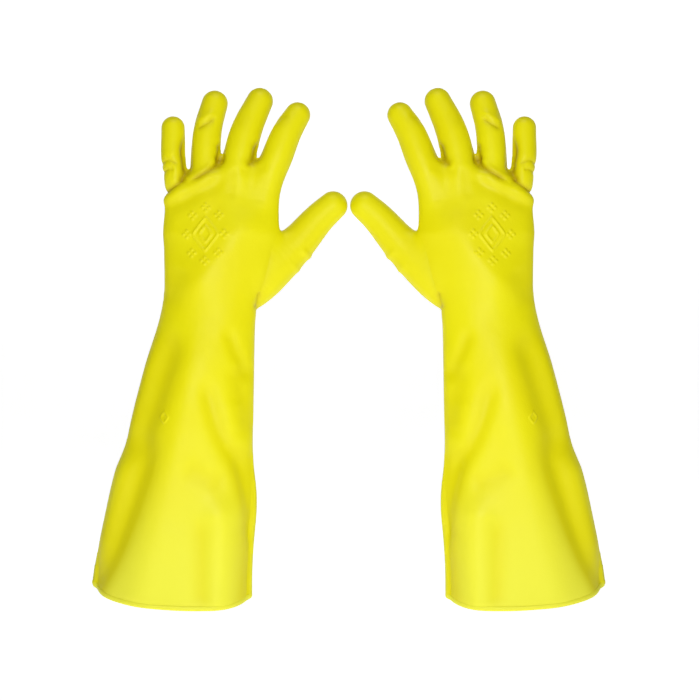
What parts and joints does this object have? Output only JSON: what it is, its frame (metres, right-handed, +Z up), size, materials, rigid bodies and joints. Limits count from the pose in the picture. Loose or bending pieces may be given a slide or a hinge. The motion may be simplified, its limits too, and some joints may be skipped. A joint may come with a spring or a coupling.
{
  "type": "rubber gloves",
  "caption": "Long-sleeved dipped rubber household gloves, lined with flock, with a rolled cuff bead; the wrist and every finger bend.",
  "frame": {"origin": "the centre of the left glove's arm opening, at the middle of its rim", "axes": "+Z up the sleeves to the fingertips, +X from the left glove to the right one, +Y from the backs of the hands to the palms; the backs face -Y"},
  "size_m": [0.4166, 0.0624, 0.4175],
  "materials": {
    "latex": "satin lemon-yellow dipped latex",
    "bead": "satin lemon-yellow rolled latex",
    "flock": "matt cream cotton flock"
  },
  "bodies": {
    "left_sleeve": {"left_sleeve": "latex", "left_cuff_bead": "bead", "left_sleeve_lining": "flock", "left_wrist_fold": "latex"},
    "left_hand": {"left_hand": "latex", "left_hand_lining": "flock", "left_thumb_root_fold": "latex", "left_index_root_fold": "latex", "left_middle_root_fold": "latex", "left_ring_root_fold": "latex", "left_little_root_fold": "latex"},
    "left_thumb_base": {"left_thumb_base": "latex", "left_thumb_middle_fold": "latex"},
    "left_thumb_tip": {"left_thumb_tip": "latex"},
    "left_index_base": {"left_index_base": "latex", "left_index_middle_fold": "latex"},
    "left_index_tip": {"left_index_tip": "latex"},
    "left_middle_base": {"left_middle_base": "latex", "left_middle_middle_fold": "latex"},
    "left_middle_tip": {"left_middle_tip": "latex"},
    "left_ring_base": {"left_ring_base": "latex", "left_ring_middle_fold": "latex"},
    "left_ring_tip": {"left_ring_tip": "latex"},
    "left_little_base": {"left_little_base": "latex", "left_little_middle_fold": "latex"},
    "left_little_tip": {"left_little_tip": "latex"},
    "right_sleeve": {"right_sleeve": "latex", "right_cuff_bead": "bead", "right_sleeve_lining": "flock", "right_wrist_fold": "latex"},
    "right_hand": {"right_hand": "latex", "right_hand_lining": "flock", "right_thumb_root_fold": "latex", "right_index_root_fold": "latex", "right_middle_root_fold": "latex", "right_ring_root_fold": "latex", "right_little_root_fold": "latex"},
    "right_thumb_base": {"right_thumb_base": "latex", "right_thumb_middle_fold": "latex"},
    "right_thumb_tip": {"right_thumb_tip": "latex"},
    "right_index_base": {"right_index_base": "latex", "right_index_middle_fold": "latex"},
    "right_index_tip": {"right_index_tip": "latex"},
    "right_middle_base": {"right_middle_base": "latex", "right_middle_middle_fold": "latex"},
    "right_middle_tip": {"right_middle_tip": "latex"},
    "right_ring_base": {"right_ring_base": "latex", "right_ring_middle_fold": "latex"},
    "right_ring_tip": {"right_ring_tip": "latex"},
    "right_little_base": {"right_little_base": "latex", "right_little_middle_fold": "latex"},
    "right_little_tip": {"right_little_tip": "latex"}
  },
  "joints": [
    {"name": "left_wrist_bend", "type": "hinge", "parent": "left_sleeve", "child": "left_hand", "pos_m": [0.029, 0, 0.229], "axis": [-1, 0, 0], "range_deg": [-50, 50], "stiffness_Nm_per_rad": 0.15, "deforming": ["left_wrist_fold"]},
    {"name": "left_thumb_root_bend", "type": "hinge", "parent": "left_hand", "child": "left_thumb_base", "pos_m": [0.10485, 0.01906, 0.28466], "axis": [-0.7545, 0, 0.6563], "range_deg": [-15, 45], "stiffness_Nm_per_rad": 0.02, "deforming": ["left_thumb_root_fold"]},
    {"name": "left_thumb_tip_bend", "type": "hinge", "parent": "left_thumb_base", "child": "left_thumb_tip", "pos_m": [0.11829, 0.0187, 0.2998], "axis": [-0.7188, 0, 0.6952], "range_deg": [0, 60], "stiffness_Nm_per_rad": 0.02, "deforming": ["left_thumb_middle_fold"]},
    {"name": "left_index_root_bend", "type": "hinge", "parent": "left_hand", "child": "left_index_base", "pos_m": [0.08609, 0.0061, 0.35244], "axis": [-0.9278, 0, 0.3731], "range_deg": [-15, 65], "stiffness_Nm_per_rad": 0.02, "deforming": ["left_index_root_fold"]},
    {"name": "left_index_tip_bend", "type": "hinge", "parent": "left_index_base", "child": "left_index_tip", "pos_m": [0.09426, 0.00843, 0.3713], "axis": [-0.8869, 0, 0.4619], "range_deg": [0, 70], "stiffness_Nm_per_rad": 0.02, "deforming": ["left_index_middle_fold"]},
    {"name": "left_middle_root_bend", "type": "hinge", "parent": "left_hand", "child": "left_middle_base", "pos_m": [0.05676, 0.00668, 0.35748], "axis": [-0.9679, 0, 0.2515], "range_deg": [-15, 65], "stiffness_Nm_per_rad": 0.02, "deforming": ["left_middle_root_fold"]},
    {"name": "left_middle_tip_bend", "type": "hinge", "parent": "left_middle_base", "child": "left_middle_tip", "pos_m": [0.06388, 0.00997, 0.37927], "axis": [-0.9251, 0, 0.3796], "range_deg": [0, 70], "stiffness_Nm_per_rad": 0.02, "deforming": ["left_middle_middle_fold"]},
    {"name": "left_ring_root_bend", "type": "hinge", "parent": "left_hand", "child": "left_ring_base", "pos_m": [0.02847, 0.00581, 0.35665], "axis": [-0.9988, 0, 0.0483], "range_deg": [-15, 65], "stiffness_Nm_per_rad": 0.02, "deforming": ["left_ring_root_fold"]},
    {"name": "left_ring_tip_bend", "type": "hinge", "parent": "left_ring_base", "child": "left_ring_tip", "pos_m": [0.03077, 0.00931, 0.3774], "axis": [-0.9746, 0, 0.2239], "range_deg": [0, 70], "stiffness_Nm_per_rad": 0.02, "deforming": ["left_ring_middle_fold"]},
    {"name": "left_little_root_bend", "type": "hinge", "parent": "left_hand", "child": "left_little_base", "pos_m": [0.00134, 0.00471, 0.34933], "axis": [-0.9983, 0, -0.0589], "range_deg": [-15, 65], "stiffness_Nm_per_rad": 0.02, "deforming": ["left_little_root_fold"]},
    {"name": "left_little_tip_bend", "type": "hinge", "parent": "left_little_base", "child": "left_little_tip", "pos_m": [0.00127, 0.00693, 0.36411], "axis": [-0.9996, 0, 0.0272], "range_deg": [0, 70], "stiffness_Nm_per_rad": 0.02, "deforming": ["left_little_middle_fold"]},
    {"name": "right_wrist_bend", "type": "hinge", "parent": "right_sleeve", "child": "right_hand", "pos_m": [0.257, 0, 0.229], "axis": [-1, 0, 0], "range_deg": [-50, 50], "stiffness_Nm_per_rad": 0.15, "deforming": ["right_wrist_fold"]},
    {"name": "right_thumb_root_bend", "type": "hinge", "parent": "right_hand", "child": "right_thumb_base", "pos_m": [0.18115, 0.01906, 0.28466], "axis": [-0.7545, 0, -0.6563], "range_deg": [-15, 45], "stiffness_Nm_per_rad": 0.02, "deforming": ["right_thumb_root_fold"]},
    {"name": "right_thumb_tip_bend", "type": "hinge", "parent": "right_thumb_base", "child": "right_thumb_tip", "pos_m": [0.16771, 0.0187, 0.2998], "axis": [-0.7188, 0, -0.6952], "range_deg": [0, 60], "stiffness_Nm_per_rad": 0.02, "deforming": ["right_thumb_middle_fold"]},
    {"name": "right_index_root_bend", "type": "hinge", "parent": "right_hand", "child": "right_index_base", "pos_m": [0.19991, 0.0061, 0.35244], "axis": [-0.9278, 0, -0.3731], "range_deg": [-15, 65], "stiffness_Nm_per_rad": 0.02, "deforming": ["right_index_root_fold"]},
    {"name": "right_index_tip_bend", "type": "hinge", "parent": "right_index_base", "child": "right_index_tip", "pos_m": [0.19174, 0.00843, 0.3713], "axis": [-0.8869, 0, -0.4619], "range_deg": [0, 70], "stiffness_Nm_per_rad": 0.02, "deforming": ["right_index_middle_fold"]},
    {"name": "right_middle_root_bend", "type": "hinge", "parent": "right_hand", "child": "right_middle_base", "pos_m": [0.22924, 0.00668, 0.35748], "axis": [-0.9679, 0, -0.2515], "range_deg": [-15, 65], "stiffness_Nm_per_rad": 0.02, "deforming": ["right_middle_root_fold"]},
    {"name": "right_middle_tip_bend", "type": "hinge", "parent": "right_middle_base", "child": "right_middle_tip", "pos_m": [0.22212, 0.00997, 0.37927], "axis": [-0.9251, 0, -0.3796], "range_deg": [0, 70], "stiffness_Nm_per_rad": 0.02, "deforming": ["right_middle_middle_fold"]},
    {"name": "right_ring_root_bend", "type": "hinge", "parent": "right_hand", "child": "right_ring_base", "pos_m": [0.25753, 0.00581, 0.35665], "axis": [-0.9988, 0, -0.0483], "range_deg": [-15, 65], "stiffness_Nm_per_rad": 0.02, "deforming": ["right_ring_root_fold"]},
    {"name": "right_ring_tip_bend", "type": "hinge", "parent": "right_ring_base", "child": "right_ring_tip", "pos_m": [0.25523, 0.00931, 0.3774], "axis": [-0.9746, 0, -0.2239], "range_deg": [0, 70], "stiffness_Nm_per_rad": 0.02, "deforming": ["right_ring_middle_fold"]},
    {"name": "right_little_root_bend", "type": "hinge", "parent": "right_hand", "child": "right_little_base", "pos_m": [0.28466, 0.00471, 0.34933], "axis": [-0.9983, 0, 0.0589], "range_deg": [-15, 65], "stiffness_Nm_per_rad": 0.02, "deforming": ["right_little_root_fold"]},
    {"name": "right_little_tip_bend", "type": "hinge", "parent": "right_little_base", "child": "right_little_tip", "pos_m": [0.28473, 0.00693, 0.36411], "axis": [-0.9996, 0, -0.0272], "range_deg": [0, 70], "stiffness_Nm_per_rad": 0.02, "deforming": ["right_little_middle_fold"]},
    {"name": "gloves_apart", "type": "slide", "parent": "left_sleeve", "child": "right_sleeve", "axis": [1, 0, 0], "range_m": [0, 0.2]}
  ]
}
